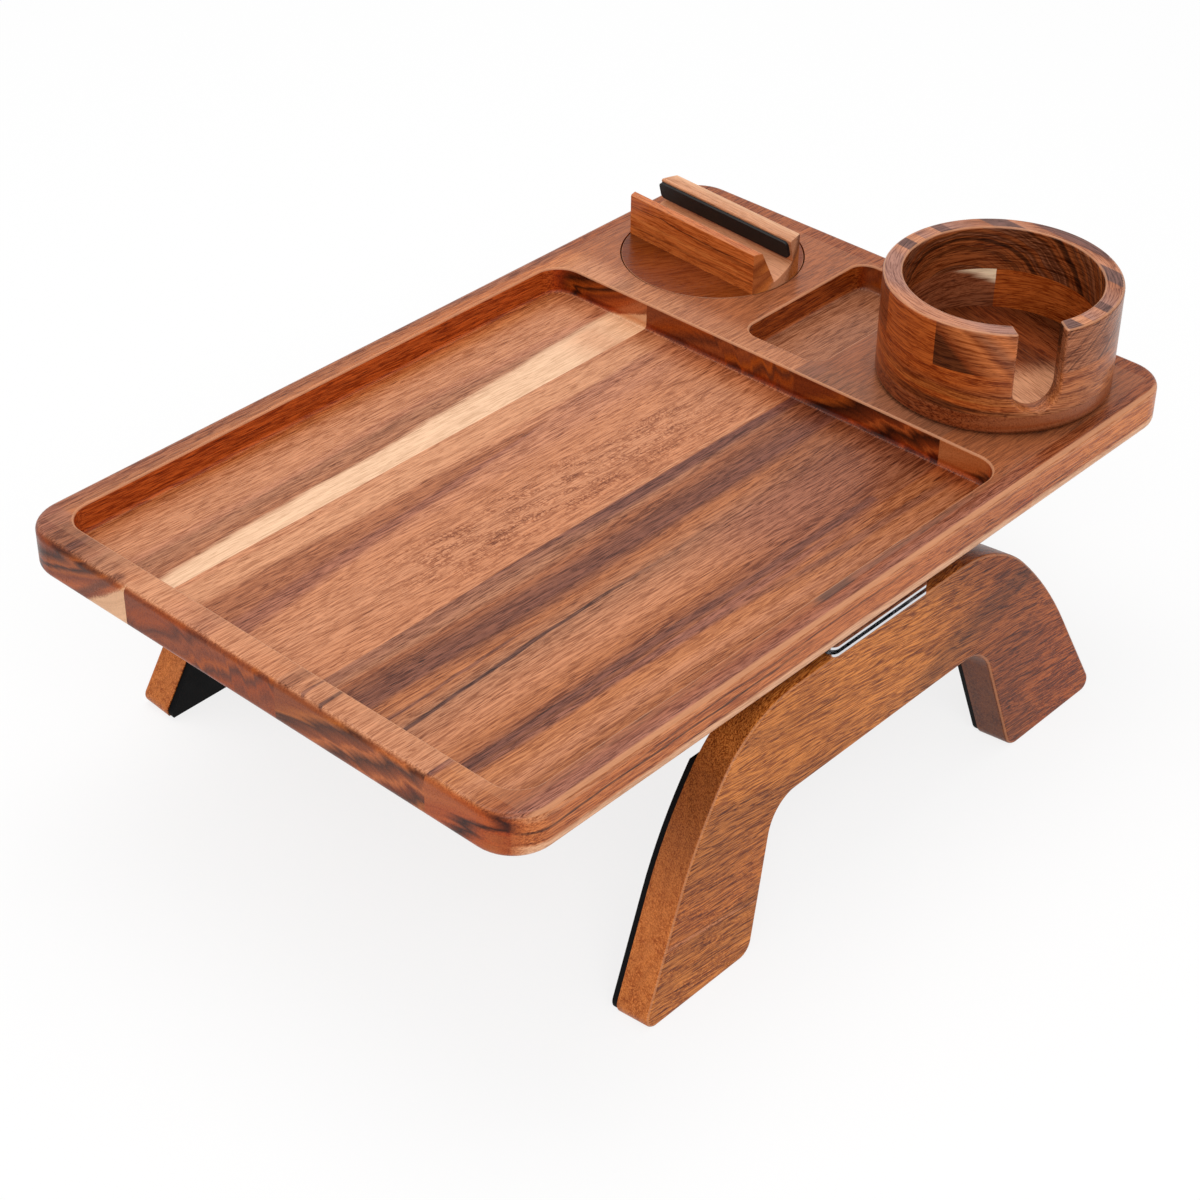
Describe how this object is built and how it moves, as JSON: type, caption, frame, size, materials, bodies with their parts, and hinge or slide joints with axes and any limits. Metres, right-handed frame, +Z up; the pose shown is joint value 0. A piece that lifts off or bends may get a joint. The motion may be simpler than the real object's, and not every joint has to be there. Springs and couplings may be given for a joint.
{
  "type": "sofa arm tray",
  "caption": "Wooden tray that clamps over a sofa arm, with a raised rim, a turning phone rest, a turning cup holder with a handle notch, and padded arched jaws that fold flat.",
  "frame": {"origin": "on the floor under the middle of the board", "axes": "+X along the board to the end with the phone rest and cup holder, +Y across it to the side with the phone rest, +Z up"},
  "size_m": [0.42, 0.3028, 0.1845],
  "materials": {
    "acacia_board": "satin lacquer over streaked, oiled acacia",
    "acacia_rest": "satin lacquer over acacia",
    "acacia_cup": "satin lacquer over glued acacia blocks",
    "acacia_jaw": "satin lacquer over acacia",
    "rubber": "matt black, fine cells",
    "chrome": "bright plated steel sheet",
    "zinc_steel": "zinc plated",
    "slip_plastic": "plain white plastic sheet"
  },
  "bodies": {
    "board": {"board_far_stave": "acacia_board", "board_inner_far_stave": "acacia_board", "board_inner_near_stave": "acacia_board", "board_near_stave": "acacia_board", "phone_slip_ring": "slip_plastic", "phone_pivot_washer": "zinc_steel", "cup_slip_ring": "slip_plastic", "cup_pivot_washer": "zinc_steel", "near_hinge_board_leaf": "chrome", "near_board_screw_1": "zinc_steel", "near_board_screw_2": "zinc_steel", "far_hinge_board_leaf": "chrome", "far_board_screw_1": "zinc_steel", "far_board_screw_2": "zinc_steel"},
    "phone_rest": {"phone_turntable": "acacia_board", "phone_rest_front": "acacia_rest", "phone_rest_back": "acacia_rest", "phone_grip_strip": "rubber", "phone_pivot_screw": "zinc_steel"},
    "cup_holder": {"cup_base": "acacia_cup", "cup_lower_course": "acacia_cup", "cup_upper_course": "acacia_cup", "cup_pivot_screw": "zinc_steel"},
    "near_jaw": {"near_jaw_arch": "acacia_jaw", "near_jaw_pad": "rubber", "near_hinge_jaw_leaf": "chrome", "near_hinge_pin": "chrome", "near_jaw_screw_1": "zinc_steel", "near_jaw_screw_2": "zinc_steel"},
    "far_jaw": {"far_jaw_arch": "acacia_jaw", "far_jaw_pad": "rubber", "far_hinge_jaw_leaf": "chrome", "far_hinge_pin": "chrome", "far_jaw_screw_1": "zinc_steel", "far_jaw_screw_2": "zinc_steel"}
  },
  "joints": [
    {"name": "near_jaw_fold", "type": "hinge", "parent": "board", "child": "near_jaw", "pos_m": [0.002, -0.12556, 0.1115], "axis": [1, 0, 0], "range_deg": [-8, 90]},
    {"name": "far_jaw_fold", "type": "hinge", "parent": "board", "child": "far_jaw", "pos_m": [0.002, 0.12556, 0.1115], "axis": [-1, 0, 0], "range_deg": [-8, 90]},
    {"name": "phone_turn", "type": "hinge", "parent": "board", "child": "phone_rest", "pos_m": [0.1551, 0.0816, 0.1285], "axis": [0, 0, 1], "continuous": true},
    {"name": "cup_turn", "type": "hinge", "parent": "board", "child": "cup_holder", "pos_m": [0.156, -0.0803, 0.1395], "axis": [0, 0, 1], "continuous": true}
  ]
}
